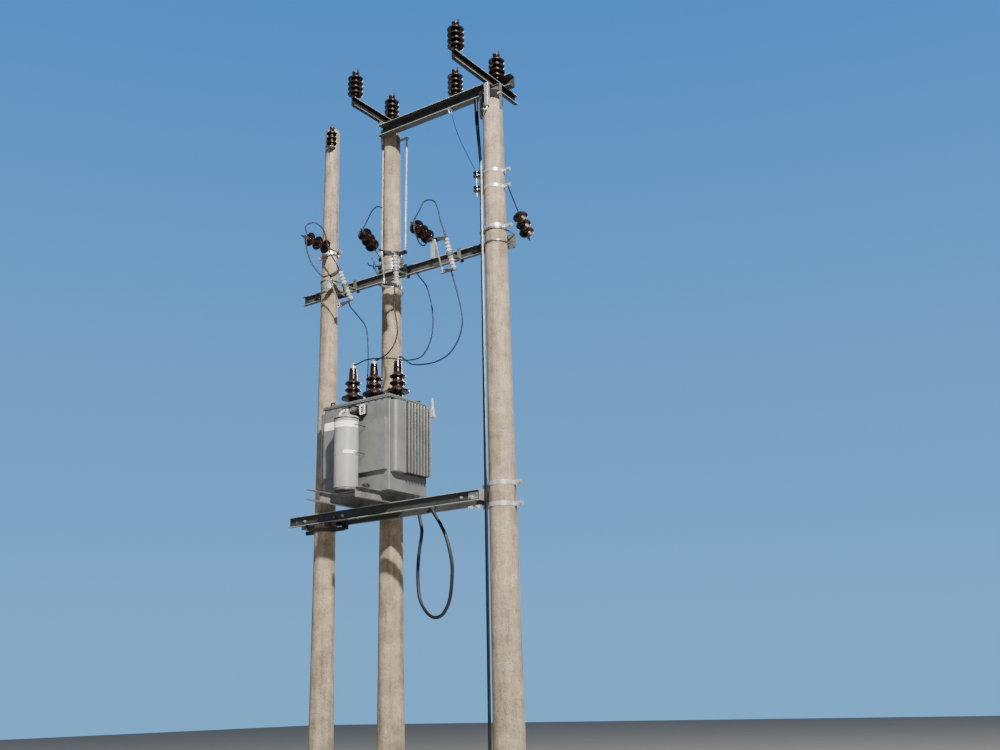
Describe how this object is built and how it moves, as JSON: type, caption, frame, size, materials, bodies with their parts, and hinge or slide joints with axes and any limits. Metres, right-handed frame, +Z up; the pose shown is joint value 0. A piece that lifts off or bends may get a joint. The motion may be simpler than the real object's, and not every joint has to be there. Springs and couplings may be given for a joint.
{
  "type": "pole mounted transformer",
  "caption": "distribution transformer on a steel platform between concrete poles, with fuse cutouts, bushings and line insulators",
  "frame": {"origin": "centre of the right pole's foot, on the ground", "axes": "+Z up, +X along the row of poles from the left pole to the right pole, +Y away from the viewer along the line"},
  "size_m": [3.596, 1.893, 9.8097],
  "materials": {
    "concrete": "rough spun concrete",
    "galvanised_steel": "dull galvanised",
    "weathered_steel": "dull weathered",
    "brown_porcelain": "glazed",
    "grey_paint": "satin",
    "white_paint": "satin",
    "light_polymer": "matt",
    "fuse_tube": "matt",
    "light_pipe": "matt",
    "black_cable": "matt"
  },
  "bodies": {
    "substation": {"left_pole": "concrete", "middle_pole": "concrete", "right_pole": "concrete", "platform_beams": "galvanised_steel", "platform_bands": "galvanised_steel", "platform_end_bracket": "galvanised_steel", "cross_channels": "galvanised_steel", "cutout_crossarm": "galvanised_steel", "crossarm_clamps": "galvanised_steel", "top_beam": "galvanised_steel", "top_arms": "galvanised_steel", "top_brackets": "weathered_steel", "post_insulators": "brown_porcelain", "post_insulator_fittings": "weathered_steel", "strain_insulators": "brown_porcelain", "strain_fittings": "weathered_steel", "strain_bands": "galvanised_steel", "spool_insulators": "brown_porcelain", "transformer_tank": "grey_paint", "tank_cover": "grey_paint", "end_fins": "grey_paint", "front_panel": "grey_paint", "tank_fittings": "weathered_steel", "hv_bushings": "brown_porcelain", "hv_bushing_terminals": "galvanised_steel", "lv_bushings": "brown_porcelain", "corner_vent": "light_polymer", "lv_cable_box": "grey_paint", "canister": "grey_paint", "canister_bands": "white_paint", "canister_fittings": "weathered_steel", "cutout_insulators": "light_polymer", "cutout_contacts": "galvanised_steel", "cutout_mounts": "galvanised_steel", "middle_pole_pipes": "light_pipe", "right_pole_pipes": "light_pipe", "left_fuse_lead": "black_cable", "middle_fuse_lead": "black_cable", "right_fuse_lead": "black_cable", "crossarm_lead": "black_cable", "left_string_jumper": "black_cable", "left_string_tail": "black_cable", "middle_string_jumper": "black_cable", "post_string_jumper": "black_cable", "post_string_tail": "black_cable", "top_tie_wire": "black_cable", "lv_cable_loop": "black_cable"},
    "left_fuse": {"left_fuse_tube": "fuse_tube"},
    "middle_fuse": {"middle_fuse_tube": "fuse_tube"},
    "right_fuse": {"right_fuse_tube": "fuse_tube"}
  },
  "joints": [
    {"name": "left_fuse_hinge", "type": "hinge", "parent": "substation", "child": "left_fuse", "pos_m": [-2.37, -0.14983, 6.5111], "axis": [1, 0, 0], "range_deg": [0, 140]},
    {"name": "middle_fuse_hinge", "type": "hinge", "parent": "substation", "child": "middle_fuse", "pos_m": [-1.51, -0.27834, 6.58225], "axis": [1, 0, 0], "range_deg": [0, 165]},
    {"name": "right_fuse_hinge", "type": "hinge", "parent": "substation", "child": "right_fuse", "pos_m": [-0.65, -0.20807, 6.53401], "axis": [1, 0, 0], "range_deg": [0, 155]}
  ]
}
